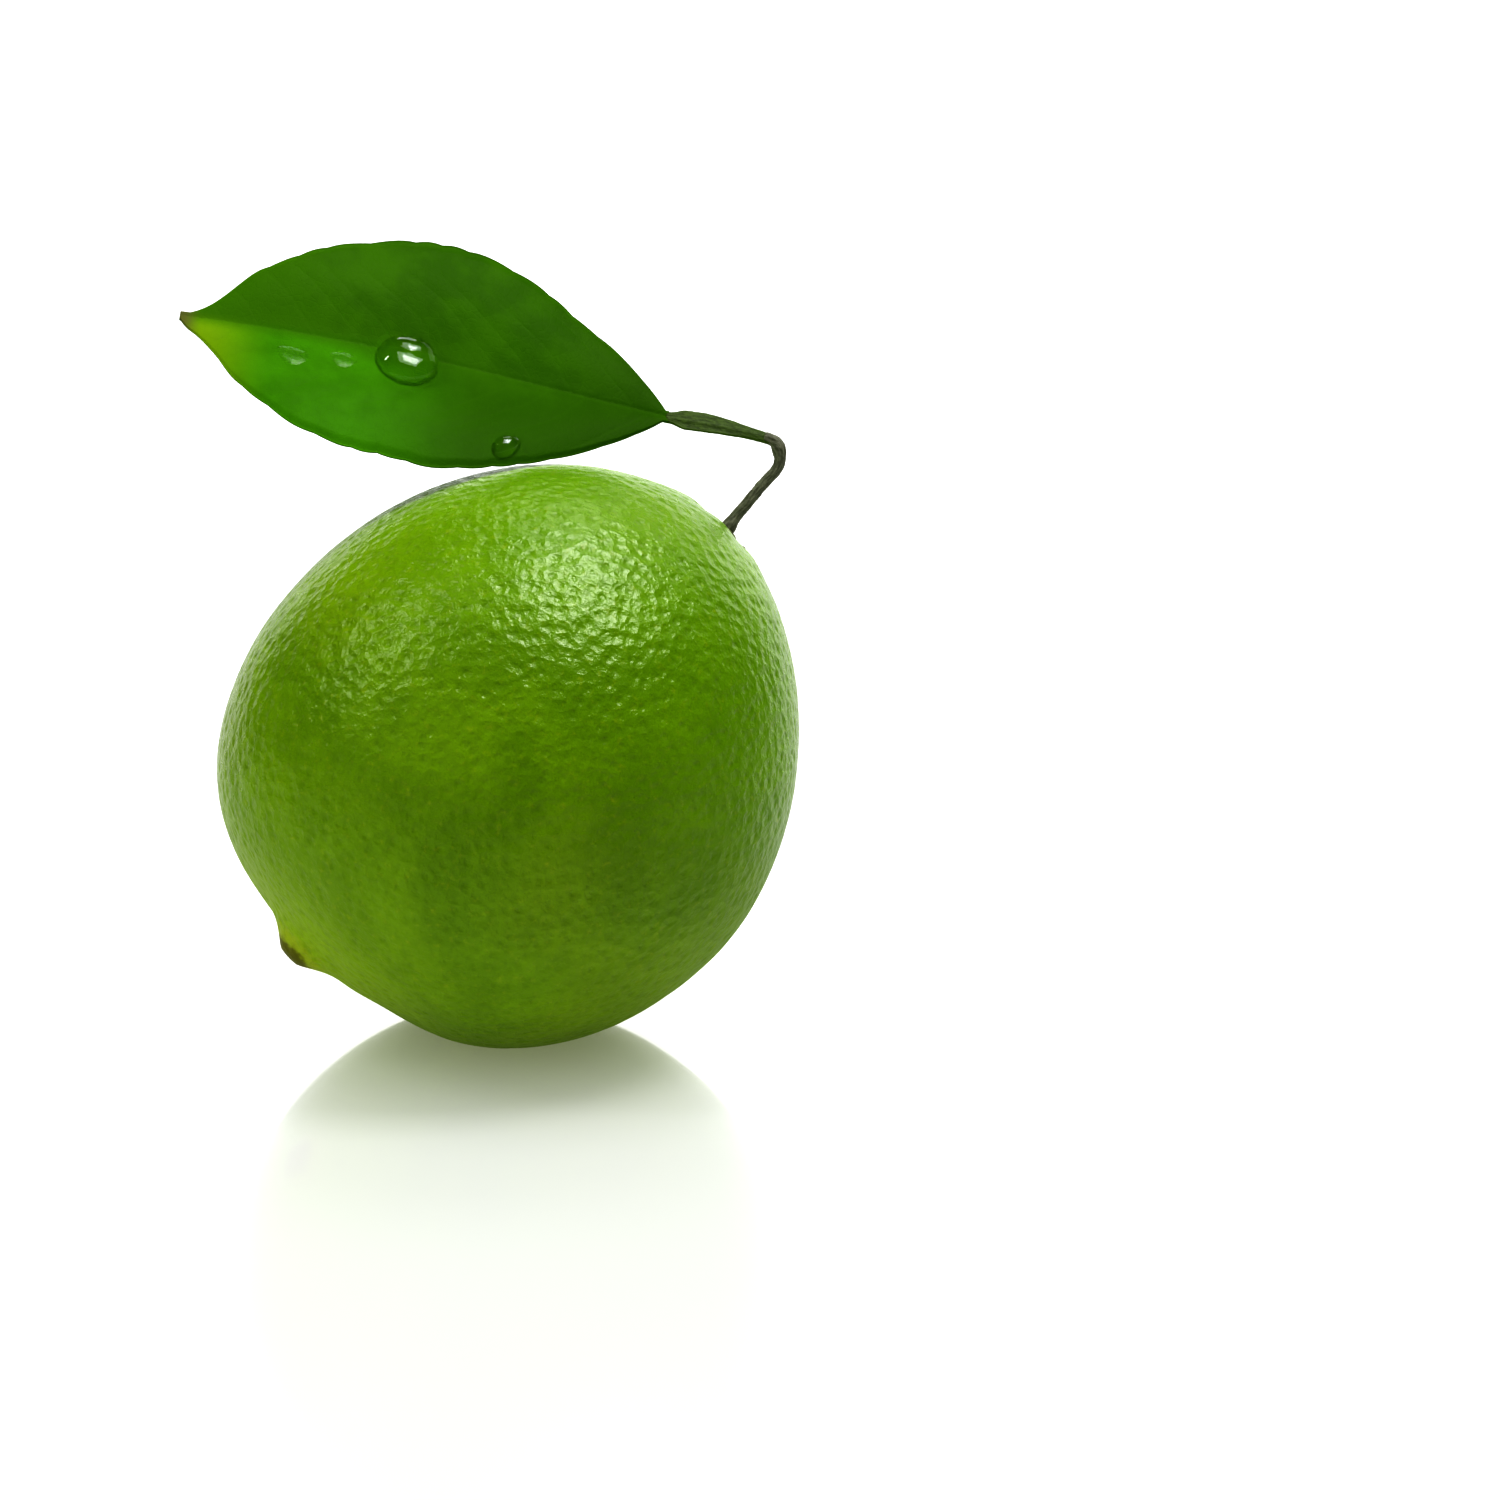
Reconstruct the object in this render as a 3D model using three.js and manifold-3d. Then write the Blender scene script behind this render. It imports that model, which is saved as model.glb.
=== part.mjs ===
// A picked lime: the whole fruit with its calyx, cut stem and one leaf, and drops of water on the leaf.
// Millimetres, +Z up. The origin lies on the surface that the fruit rests on, straight below the middle of
// the fruit. The leaf points along -X, and its upper face leans towards -Y.

import * as THREE from "three";
import { mergeVertices } from "three/addons/utils/BufferGeometryUtils.js";
import Module from "manifold-3d";

const wasm = await Module();
wasm.setup();

// ---- Driving dimensions ----

const fruit = {
  radius: 27.9, // at the widest section
  stemHalf: 32.6, // from the widest section to the stem end
  blossomHalf: 27.5, // from the widest section to the blossom end, nipple left out
  stemTaper: 1.17, // over 1 narrows the stem end
  blossomTaper: 0.76, // under 1 makes the blossom end blunt
  centreHeight: 27.5, // of the widest section above the surface, so that the flat spot is 1.1 deep
  axisRise: 37, // degrees that the axis climbs towards the stem end
  axisTurn: 26.5, // degrees of the axis round Z, from +X towards +Y
  stemBend: 1.9, // sideways shift of the stem end off the axis
  blossomBend: 1.1, // sideways shift of the blossom end, to the same side
};
const nipple = { height: 2.35, radius: 3.2, scarDepth: 0.45, scarRadius: 0.7 };
const hollow = { depth: 0.7, radius: 11.7, width: 4.1 }; // low on one side of the blossom end
const dimple = { depth: 1.4, radius: 3.4 }; // at the stem end
const furrows = { count: 7, depth: 0.12, radius: 6, width: 1.8 }; // shallow, round the dimple
const unevenness = { oval: 0.004, lobed: 0.006, lobes: 3, lobeTurn: 1.57 };

const calyx = {
  lobes: 5,
  notchRadius: 1.8,
  lobeRadius: 2.8,
  thickness: 0.6,
  edgeThickness: 0.4,
  bossRadius: 1.3,
  bossHeight: 0.65,
};

const stem = {
  radius: 0.6,
  footRadius: 0.85, // where it widens on to the calyx
  nodeRadius: 0.74, // at the bend, where the leaf stalk joins
  bendAt: 0.84, // of the way along
  // From just above the calyx to the far side of the bend.
  route: [
    new THREE.Vector3(23.5, 13.0, 50.9),
    new THREE.Vector3(25.2, 13.85, 52.7),
    new THREE.Vector3(26.6, 14.4, 54.25),
    new THREE.Vector3(26.85, 14.8, 55.6),
    new THREE.Vector3(26.45, 15.15, 56.65),
    new THREE.Vector3(25.7, 15.3, 57.05),
  ],
};

const petiole = {
  endHalfWidth: 0.62,
  wingHalfWidth: 1.3,
  jointHalfWidth: 0.8,
  halfThickness: 0.5,
  route: [
    new THREE.Vector3(23.3, 15.5, 57.7),
    new THREE.Vector3(20.8, 15.7, 58.3),
    new THREE.Vector3(18.5, 15.8, 58.7),
  ],
};

const leaf = {
  base: new THREE.Vector3(15.6, 15.9, 59.1),
  tip: new THREE.Vector3(-33.1, 12.05, 70.6),
  lean: 37, // degrees that the blade climbs across its width, towards +Y
  // Each half's greatest width, how far that lies from the base (more is nearer), how full it is (less is
  // fuller), how much it narrows into the drip tip, and where that starts.
  farHalf: { width: 13.7, skew: 1.0, fullness: 0.8, narrowing: 0.68, from: 0.85 },
  nearHalf: { width: 14.5, skew: 1.14, fullness: 0.75, narrowing: 0.38, from: 0.88 },
  fold: 6, // degrees that each half rises from the midrib
  foldRound: 1.1, // half-width of the rounded valley over the midrib
  arch: 0.8, // rise of the midrib above the line from base to tip
  bow: 0.4, // sideways curve of the midrib
  camber: 0.55, // how much each half bulges between midrib and margin
  wave: { height: 0.25, count: 2.3, farPhase: 2.1, nearPhase: 2.9 }, // the margin's slow waves
  crenations: 14, // rounded teeth along each margin
  crenationDepth: 0.16,
  halfThickness: 0.32,
  ribDepth: 0.75, // how far the midrib stands out below, at the base
  ribRadius: 0.8,
  endHalfWidth: 0.75, // where it joins the leaf stalk
  tipHalfWidth: 0.5,
};

// Each drop's place on the blade: along the midrib from base (0) to tip (1), and across from the -Y margin
// (-1) to the +Y margin (1).
const drops = [
  { name: "water_drop_large", along: 0.548, across: -0.11, radius: 3.2, height: 2.2 },
  { name: "water_drop_middle", along: 0.668, across: -0.2, radius: 1.4, height: 0.8 },
  { name: "water_drop_tip", along: 0.77, across: -0.29, radius: 1.6, height: 0.8 },
  { name: "water_drop_edge", along: 0.324, across: -0.82, radius: 1.4, height: 1.1 },
];

const gap = 0.3; // left between pieces that touch

const facets = {
  fruitAround: 64,
  fruitAlong: 46,
  poleCrowding: 0.36, // 0 spaces the fruit's rings evenly, and 0.5 crowds them fully at its ends
  calyxAround: 40,
  calyxAcross: 10,
  stemAround: 10,
  stemAlong: 28,
  petioleAround: 12,
  petioleAlong: 18,
  leafAlong: 70,
  leafAcross: 12,
  dropAround: 16,
  dropAcross: 8,
};

// ---- Helpers ----

const { cos, sin, sqrt, abs, exp, hypot, atan2, acos, max, PI } = Math;
const radians = THREE.MathUtils.degToRad;
const smoothstep = THREE.MathUtils.smoothstep;
const hump = (distance, width) => exp(-((distance / width) ** 2));

// start + axis * amount for each [axis, amount] pair
const along = (start, ...steps) =>
  steps.reduce((point, [axis, amount]) => point.addScaledVector(axis, amount), start.clone());

// The unit vector nearest to wanted that is square to axis.
const squareTo = (axis, wanted) => along(wanted, [axis, -wanted.dot(axis)]).normalize();

// A closed three.js geometry with its seams merged and each point sent to place(x, y, z).
function moulded(geometry, place) {
  geometry.deleteAttribute("normal");
  geometry.deleteAttribute("uv");
  const merged = mergeVertices(geometry, 1e-4);
  const position = merged.getAttribute("position");
  for (let i = 0; i < position.count; i++) {
    const p = place(position.getX(i), position.getY(i), position.getZ(i));
    position.setXYZ(i, p.x, p.y, p.z);
  }
  merged.clearGroups();
  return merged;
}

// A thin closed blade: a grid for its upper face, the same grid turned over for its lower face, so that both
// are split into triangles alike, and a rim between them. point(u, v, side) has u and v from 0 to 1.
function blade(stepsAlong, stepsAcross, point) {
  const grid = new THREE.PlaneGeometry(1, 1, stepsAlong, stepsAcross);
  const uv = grid.getAttribute("uv");
  const count = uv.count;
  const positions = [];
  for (const side of [1, -1])
    for (let i = 0; i < count; i++) positions.push(...point(uv.getX(i), uv.getY(i), side).toArray());

  const upper = [...grid.index.array];
  const triangles = [...upper];
  for (let i = 0; i < upper.length; i += 3)
    triangles.push(upper[i] + count, upper[i + 2] + count, upper[i + 1] + count);
  const row = stepsAlong + 1;
  const rim = (a, b) => triangles.push(a, a + count, b, b, a + count, b + count);
  for (let i = 0; i < stepsAlong; i++) {
    rim(i + 1, i);
    rim(stepsAcross * row + i, stepsAcross * row + i + 1);
  }
  for (let j = 0; j < stepsAcross; j++) {
    rim(j * row, (j + 1) * row);
    rim((j + 2) * row - 1, (j + 1) * row - 1);
  }
  const made = new THREE.BufferGeometry();
  made.setAttribute("position", new THREE.Float32BufferAttribute(positions, 3));
  made.setIndex(triangles);
  return made;
}

// A closed tube along a curve: section(t, angle) gives the offsets along the frame's two cross axes at
// t from 0 to 1. frameAt(t) gives those axes.
function sweep(curve, around, steps, frameAt, section) {
  return moulded(new THREE.CylinderGeometry(1, 1, 1, around, steps), (x, y, z) => {
    const t = y + 0.5;
    const { first, second } = frameAt(t);
    const [width, height] = section(t, atan2(z, x));
    const share = hypot(x, z); // 0 in the middle of an end cap, 1 on the wall
    return along(curve.getPoint(t), [first, width * share], [second, height * share]);
  });
}

// ---- The fruit ----

const rise = radians(fruit.axisRise);
const turn = radians(fruit.axisTurn);
const fruitCentre = new THREE.Vector3(0, 0, fruit.centreHeight);
const fruitAxis = new THREE.Vector3(cos(rise) * cos(turn), cos(rise) * sin(turn), sin(rise));
const bendSide = squareTo(fruitAxis, new THREE.Vector3(-0.689, 0.212, 0.693));
const crossSide = new THREE.Vector3().crossVectors(bendSide, fruitAxis);

// The fruit's surface about its axis: how far along the axis, and how far out from it, at a polar angle
// counted from the stem end and an angle round the axis.
function fruitSection(polar, angle) {
  const c = cos(polar);
  const s = sin(polar);
  const stemSide = c > 0;
  const out = fruit.radius * max(s, 0) ** (stemSide ? fruit.stemTaper : fruit.blossomTaper);
  let height = (stemSide ? fruit.stemHalf : fruit.blossomHalf) * c;
  if (stemSide) {
    const furrow = furrows.depth * hump(out - furrows.radius, furrows.width);
    height -= dimple.depth * hump(out, dimple.radius) + furrow * cos(furrows.count * angle);
  } else {
    height -= nipple.height * hump(out, nipple.radius) - nipple.scarDepth * hump(out, nipple.scarRadius);
    height += hollow.depth * hump(out - hollow.radius, hollow.width) * max(0, -cos(angle)) ** 2;
  }
  const oval = unevenness.oval * cos(2 * angle);
  const lobed = unevenness.lobed * cos(unevenness.lobes * angle + unevenness.lobeTurn);
  return { height, out: out * (1 + (oval + lobed) * s ** 2) };
}

// A point at that height and distance from the axis, with the ends bent sideways.
function fruitPlace(height, out, angle) {
  const half = height > 0 ? fruit.stemHalf : fruit.blossomHalf;
  const shift = (height > 0 ? fruit.stemBend : fruit.blossomBend) * (height / half) ** 2;
  return along(
    fruitCentre,
    [fruitAxis, height],
    [bendSide, out * cos(angle) + shift],
    [crossSide, out * sin(angle)],
  );
}

function fruitGeometry() {
  const sphere = new THREE.SphereGeometry(1, facets.fruitAround, facets.fruitAlong);
  const body = moulded(sphere, (x, y, z) => {
    const even = acos(THREE.MathUtils.clamp(y, -1, 1));
    const polar = even - facets.poleCrowding * sin(2 * even);
    const angle = atan2(z, x);
    const { height, out } = fruitSection(polar, angle);
    return fruitPlace(height, out, angle);
  });
  const ground = moulded(new THREE.BoxGeometry(120, 120, 20), (x, y, z) => new THREE.Vector3(x, y, z - 10));
  return fromSolid(toSolid(body).subtract(toSolid(ground)));
}

function toSolid(geometry) {
  return new wasm.Manifold(
    new wasm.Mesh({
      numProp: 3,
      vertProperties: new Float32Array(geometry.getAttribute("position").array),
      triVerts: new Uint32Array(geometry.index.array),
    }),
  );
}

function fromSolid(solid) {
  const mesh = solid.getMesh();
  const geometry = new THREE.BufferGeometry();
  geometry.setAttribute("position", new THREE.BufferAttribute(mesh.vertProperties, 3));
  geometry.setIndex(new THREE.BufferAttribute(mesh.triVerts, 1));
  return geometry;
}

// ---- The calyx: a five-lobed star pressed into the dimple, with a boss that the stem stands on ----

// Height of the fruit's surface along its axis, at a distance from the axis near the stem end.
function stemEndHeight(out) {
  const polar = Math.asin((out / fruit.radius) ** (1 / fruit.stemTaper));
  const depth = dimple.depth * hump(out, dimple.radius);
  return fruit.stemHalf * cos(polar) - depth;
}

const calyxBottom = (out) => stemEndHeight(out) + gap;
const calyxTop = (out, reach) =>
  calyxBottom(out) +
  THREE.MathUtils.lerp(calyx.thickness, calyx.edgeThickness, out / reach) +
  calyx.bossHeight * (1 - smoothstep(out, calyx.bossRadius * 0.55, calyx.bossRadius * 1.3));

function calyxGeometry() {
  const disc = new THREE.SphereGeometry(1, facets.calyxAround, facets.calyxAcross);
  return moulded(disc, (x, y, z) => {
    const angle = atan2(z, x);
    const lobe = ((1 + cos(calyx.lobes * angle)) / 2) ** 0.8;
    const reach = THREE.MathUtils.lerp(calyx.notchRadius, calyx.lobeRadius, lobe);
    const out = reach * hypot(x, z);
    const share = (1 + y / max(abs(y), 0.35)) / 2; // 0 on the lower face and 1 on the upper, round the edge
    const height = THREE.MathUtils.lerp(calyxBottom(out), calyxTop(out, reach), share);
    return fruitPlace(height, out, angle);
  });
}

// ---- The stem: from the boss up to the bend where the leaf stalk joins ----

const stemFoot = fruitPlace(calyxTop(0, 1) + gap, 0, 0);
const stemCurve = new THREE.CatmullRomCurve3([
  stemFoot,
  along(stemFoot, [fruitAxis, 0.35]),
  ...stem.route,
]);

function stemGeometry() {
  const frames = stemCurve.computeFrenetFrames(facets.stemAlong, false);
  const frameAt = (t) => {
    const i = Math.round(t * facets.stemAlong);
    return { first: frames.normals[i], second: frames.binormals[i].clone().negate() };
  };
  return sweep(stemCurve, facets.stemAround, facets.stemAlong, frameAt, (t, angle) => {
    const foot = (stem.footRadius - stem.radius) * (1 - smoothstep(t, 0, 0.16));
    const node = (stem.nodeRadius - stem.radius) * hump(t - stem.bendAt, 0.1);
    const radius = stem.radius + foot + node;
    return [radius * cos(angle), radius * sin(angle)];
  });
}

// ---- The leaf blade ----

const leafRun = leaf.tip.clone().sub(leaf.base);
const leafLength = leafRun.length();
const leafHeading = leafRun.clone().normalize();
const lean = radians(leaf.lean);
const leafSide = squareTo(leafHeading, new THREE.Vector3(0, cos(lean), sin(lean)));
const leafUp = new THREE.Vector3().crossVectors(leafSide, leafHeading);

// Width of one half of the blade at a share of its length: the +Y half for t above 0.
function leafHalfWidth(s, t) {
  const half = t > 0 ? leaf.farHalf : leaf.nearHalf;
  const oval = max(sin(PI * s ** half.skew), 0) ** half.fullness;
  const width = half.width * oval * (1 - half.narrowing * smoothstep(s, half.from, 1));
  return max(width, THREE.MathUtils.lerp(leaf.endHalfWidth, leaf.tipHalfWidth, s));
}

// The blade's middle surface, at a share of its length and from margin (-1) to margin (1).
function leafPlace(s, t, lift = 0) {
  const halfWidth = leafHalfWidth(s, t);
  const broad = halfWidth / leaf.nearHalf.width;
  const tooth = leaf.crenationDepth * broad * t ** 4 * abs(sin(PI * leaf.crenations * s));
  const reach = halfWidth * t + Math.sign(t) * tooth;
  const valley = Math.tan(radians(leaf.fold)) * (hypot(reach, leaf.foldRound) - leaf.foldRound);
  const bulge = leaf.camber * broad * sin(PI * abs(t));
  const phase = t > 0 ? leaf.wave.farPhase : leaf.wave.nearPhase;
  const wave = leaf.wave.height * broad * t ** 2 * sin(2 * PI * leaf.wave.count * s + phase);
  const rise = leaf.arch * sin(PI * s ** 1.6);
  return along(
    leaf.base,
    [leafHeading, leafLength * s],
    [leafSide, reach + leaf.bow * sin(PI * s)],
    [leafUp, rise + valley + bulge + wave + lift],
  );
}

function leafGeometry() {
  return blade(facets.leafAlong, facets.leafAcross, (u, v, side) => {
    const s = 1 - u;
    const even = 2 * v - 1;
    const t = even * (0.45 + 0.55 * abs(even)); // rows crowd over the midrib
    const rib = leaf.ribDepth * (1 - 0.75 * s) * hump(t * leafHalfWidth(s, t), leaf.ribRadius);
    return leafPlace(s, t, side > 0 ? leaf.halfThickness : -leaf.halfThickness - rib);
  });
}

// ---- The leaf stalk: narrow at the stem, winged in the middle, pinched at its joint with the blade ----

const stalkEnd = along(leaf.base, [leafHeading, -gap]);
const stalkStart = along(stemCurve.getPoint(1), [stemCurve.getTangent(1), gap]);
const stalkCurve = new THREE.CatmullRomCurve3([stalkStart, ...petiole.route, stalkEnd]);

function petioleGeometry() {
  const frameAt = (t) => {
    const tangent = stalkCurve.getTangent(t);
    const first = squareTo(tangent, leafSide);
    return { first, second: new THREE.Vector3().crossVectors(first, tangent) };
  };
  return sweep(stalkCurve, facets.petioleAround, facets.petioleAlong, frameAt, (t, angle) => {
    const ends = THREE.MathUtils.lerp(petiole.endHalfWidth, petiole.jointHalfWidth, t);
    const wing = (petiole.wingHalfWidth - ends) * smoothstep(t, 0.05, 0.75) * (1 - smoothstep(t, 0.82, 1));
    return [(ends + wing) * cos(angle), petiole.halfThickness * sin(angle)];
  });
}

// ---- Water drops: domes whose rims follow the blade ----

function dropGeometry({ along: s, across: t, radius, height }) {
  const seat = leaf.halfThickness + gap;
  const centre = leafPlace(s, t, seat);
  const onLeaf = (x, z) =>
    leafPlace(s + (x * radius) / leafLength, t + (z * radius) / leafHalfWidth(s, t), seat);
  const ball = new THREE.SphereGeometry(1, facets.dropAround, facets.dropAcross);
  return moulded(ball, (x, y, z) => {
    const share = hypot(x, z);
    if (y < 1e-6) return onLeaf(x, z);
    if (share < 1e-6) return along(centre, [leafUp, height]);
    const rim = onLeaf(x / share, z / share).sub(centre);
    const rimHeight = rim.dot(leafUp);
    return along(centre, [along(rim, [leafUp, -rimHeight]), share], [
      leafUp,
      rimHeight * share ** 2 + height * sqrt(1 - share ** 2),
    ]);
  });
}

// ---- The assembly ----

const lime = new THREE.Group();

function add(name, geometry, material) {
  const mesh = new THREE.Mesh(geometry, material);
  mesh.name = name;
  lime.add(mesh);
}

const finish = (color, roughness) => new THREE.MeshStandardMaterial({ color, roughness, metalness: 0 });
const water = finish(0xdfeedd, 0.05);

add("fruit", fruitGeometry(), finish(0x5d8f0e, 0.35));
add("calyx", calyxGeometry(), finish(0x6f7a3a, 0.7));
add("stem", stemGeometry(), finish(0x565e47, 0.7));
add("petiole", petioleGeometry(), finish(0x304b14, 0.5));
add("leaf_blade", leafGeometry(), finish(0x2f660a, 0.4));
for (const drop of drops) add(drop.name, dropGeometry(drop), water);

export default lime;
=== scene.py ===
import bpy
import numpy as np
from mathutils import Matrix, Vector


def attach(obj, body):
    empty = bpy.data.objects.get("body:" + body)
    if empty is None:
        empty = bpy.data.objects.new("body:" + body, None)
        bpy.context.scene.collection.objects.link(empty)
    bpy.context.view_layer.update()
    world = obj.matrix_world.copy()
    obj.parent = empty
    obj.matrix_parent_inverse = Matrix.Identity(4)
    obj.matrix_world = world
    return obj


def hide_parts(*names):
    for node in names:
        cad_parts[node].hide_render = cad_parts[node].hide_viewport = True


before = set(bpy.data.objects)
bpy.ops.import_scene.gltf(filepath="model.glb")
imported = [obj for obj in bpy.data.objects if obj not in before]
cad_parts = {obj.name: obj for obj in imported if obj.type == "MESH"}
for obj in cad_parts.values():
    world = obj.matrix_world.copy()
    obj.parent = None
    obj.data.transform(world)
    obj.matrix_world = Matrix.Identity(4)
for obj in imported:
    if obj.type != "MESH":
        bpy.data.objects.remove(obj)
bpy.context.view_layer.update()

mm = 0.001
scene = bpy.context.scene


# Shapes are worked out in millimetres as whole numpy arrays.

def unit(vector):
    return vector / np.linalg.norm(vector, axis=-1, keepdims=True)


def squareTo(axis, wanted):
    return unit(wanted - axis * np.sum(wanted * axis, axis=-1, keepdims=True))


# exp(-(distance / width) squared): 1 in the middle, and near 0 past twice the width.
def hump(distance, width):
    return np.exp(-((distance / width) ** 2))


# 3x^2 - 2x^3 of the value's share of the way from low to high, held at 0 and 1 outside.
def smooth(value, low, high):
    share = np.clip((value - low) / (high - low), 0, 1)
    return share * share * (3 - 2 * share)


def lerp(start, end, share):
    return start + (end - start) * share


# A 32-bit whole number with its bits turned left by a count.
def rotateBits(x, count):
    return (x << np.uint32(count)) | (x >> np.uint32(32 - count))


# The last stage and the mixing stage of the hash by which Blender's noise nodes draw their numbers.
def scrambleEnd(a, b, c):
    for x, y, count in ((2, 1, 14), (0, 2, 11), (1, 0, 25), (2, 1, 16), (0, 2, 4), (1, 0, 14), (2, 1, 24)):
        part = [a, b, c]
        part[x] = (part[x] ^ part[y]) - rotateBits(part[y], count)
        a, b, c = part
    return c


def scramble(a, b, c):
    steps = ((0, 2, 1, 4), (1, 0, 2, 6), (2, 1, 0, 8), (0, 2, 1, 16), (1, 0, 2, 19), (2, 1, 0, 4))
    for x, y, z, count in steps:
        part = [a, b, c]
        part[x] = (part[x] - part[y]) ^ rotateBits(part[y], count)
        part[y] = part[y] + part[z]
        a, b, c = part
    return a, b, c


# A random point in each unit cell of space, the same one that the Voronoi Texture node uses: x is the hash
# of the cell's three numbers, and y and z are that of the three with a 1 or a 2 added.
def cellPoint(cell):
    bits = [cell[..., k].astype(np.float32).view(np.uint32) for k in range(3)]
    first, second = np.float32(1).view(np.uint32), np.float32(2).view(np.uint32)
    threeSeed, fourSeed = np.uint32(0xdeadbeef + 25), np.uint32(0xdeadbeef + 29)
    x = scrambleEnd(*(threeSeed + part for part in bits))
    a, b, c = scramble(*(fourSeed + part for part in bits))
    return np.stack([x, scrambleEnd(a + first, b, c), scrambleEnd(a + second, b, c)], -1) / (2**32 - 1)


# Distance from each place to the nearest cell point, in cells.
def cellDistance(place, randomness):
    place = place.astype(np.float32)
    cell = np.floor(place)
    nearest = np.full(place.shape[:-1], 9.0)
    for offset in np.stack(np.meshgrid([-1, 0, 1], [-1, 0, 1], [-1, 0, 1]), -1).reshape(-1, 3):
        offset = offset.astype(np.float32)
        point = cell + offset + cellPoint(cell + offset + np.float32(0)) * randomness
        nearest = np.minimum(nearest, np.linalg.norm(point - place, axis=-1))
    return nearest


# Smooth random values from -1 to 1: the values of a cell's corners blended by smooth steps on x, y and z.
def softNoise(place, size):
    place = (place / size).astype(np.float32)
    cell = np.floor(place)
    share = smooth(place - cell, 0, 1)
    total = 0
    for corner in np.stack(np.meshgrid([0, 1], [0, 1], [0, 1]), -1).reshape(-1, 3):
        weight = np.prod(np.where(corner == 1, share, 1 - share), axis=-1)
        total = total + weight * cellPoint(cell + corner.astype(np.float32))[..., 0]
    return 2 * total - 1


# Catmull-Rom curve through the points, at even steps of length.
def route(points, count):
    points = np.asarray(points, float)
    padded = np.concatenate([2 * points[:1] - points[1:2], points, 2 * points[-1:] - points[-2:-1]])
    t = np.linspace(0, len(points) - 1, 40 * len(points))
    k = np.minimum(t.astype(int), len(points) - 2)
    f = (t - k)[:, None]
    a, b, c, d = padded[k], padded[k + 1], padded[k + 2], padded[k + 3]
    bend, twist = 2 * a - 5 * b + 4 * c - d, 3 * b - a - 3 * c + d
    curve = 0.5 * (2 * b + (c - a) * f + bend * f**2 + twist * f**3)
    length = np.concatenate([[0], np.cumsum(np.linalg.norm(np.diff(curve, axis=0), axis=1))])
    even = np.linspace(0, length[-1], count)
    return np.stack([np.interp(even, length, curve[:, axis]) for axis in range(3)], -1)


# A mesh object from points in millimetres and rows of four or three point numbers, facing outwards: the
# volume under its faces, summed as dot(a, cross(b, c)) / 6, is made positive.
def meshObject(name, points, quads, triangles=None, marks=None):
    triangles = np.zeros((0, 3), int) if triangles is None else triangles
    thirds = np.concatenate([quads[:, [0, 1, 2]], quads[:, [0, 2, 3]], triangles])
    a, b, c = (points[thirds[:, corner]] for corner in range(3))
    if np.sum(a * np.cross(b, c)) < 0:
        quads, triangles = quads[:, ::-1], triangles[:, ::-1]
    loops = np.concatenate([quads.ravel(), triangles.ravel()])
    starts = np.concatenate([np.arange(len(quads)) * 4, len(quads) * 4 + np.arange(len(triangles)) * 3])
    mesh = bpy.data.meshes.new(name)
    mesh.vertices.add(len(points))
    mesh.vertices.foreach_set("co", (points * mm).astype(np.float32).ravel())
    mesh.loops.add(len(loops))
    mesh.loops.foreach_set("vertex_index", loops.astype(np.int32))
    mesh.polygons.add(len(starts))
    mesh.polygons.foreach_set("loop_start", starts.astype(np.int32))
    for mark, values in (marks or {}).items():
        kind, key = ("FLOAT", "value") if values.ndim == 1 else ("FLOAT_VECTOR", "vector")
        mesh.attributes.new(mark, kind, "POINT").data.foreach_set(key, values.astype(np.float32).ravel())
    mesh.update(calc_edges=True)
    mesh.shade_smooth()
    made = bpy.data.objects.new(name, mesh)
    scene.collection.objects.link(made)
    return made


def gridQuads(numbers):
    corners = [numbers[:-1, :-1], numbers[:-1, 1:], numbers[1:, 1:], numbers[1:, :-1]]
    return np.stack(corners, -1).reshape(-1, 4)


# Grids of two parameters: p runs down the rows, from 0 to its end, and q round the columns, from 0 to 2 pi.
def roundGrid(p, columns):
    return np.meshgrid(p, np.linspace(0, 2 * np.pi, columns, endpoint=False), indexing="ij")


# A closed skin from a grid of points whose columns run round and whose first and last rows are one point
# each.
def closedSkin(name, grid, marks=None):
    rows, columns = grid.shape[:2]

    def flat(values):
        return np.concatenate([values[0, :1], values[1:-1].reshape(-1, *values.shape[2:]), values[-1, :1]])

    numbers = 1 + np.arange((rows - 2) * columns).reshape(rows - 2, columns)
    numbers = np.concatenate([numbers, numbers[:, :1]], 1)
    last = (rows - 2) * columns + 1
    start = np.stack([np.zeros(columns, int), numbers[0, 1:], numbers[0, :-1]], -1)
    end = np.stack([np.full(columns, last), numbers[-1, :-1], numbers[-1, 1:]], -1)
    marks = {mark: flat(values) for mark, values in (marks or {}).items()}
    return meshObject(name, flat(grid), gridQuads(numbers), np.concatenate([start, end]), marks)


# A tube along a path: place = path + first axis * width + second axis * height. section gives width and
# height for t from 0 to 1 and an angle. The ends close as quarter circles over the length of the dome.
def tube(name, path, across, section, around, dome=0.25, marks=None):
    tangent = unit(np.gradient(path, axis=0))
    first = squareTo(tangent, np.broadcast_to(across, path.shape))
    second = np.cross(first, tangent)
    length = np.concatenate([[0], np.cumsum(np.linalg.norm(np.diff(path, axis=0), axis=1))])
    t, angle = roundGrid(length / length[-1], around)
    width, height = section(t, angle)
    toEnd = np.minimum(length, length[-1] - length)[:, None]
    closing = np.sqrt(1 - (1 - np.clip(toEnd / dome, 0, 1)) ** 2)
    width, height = width * closing, height * closing
    grid = path[:, None] + first[:, None] * width[..., None] + second[:, None] * height[..., None]
    ring = np.stack([t * length[-1], np.cos(angle), np.sin(angle)], -1)
    return closedSkin(name, grid, {"ring": ring, **(marks(t, angle) if marks else {})})


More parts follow.
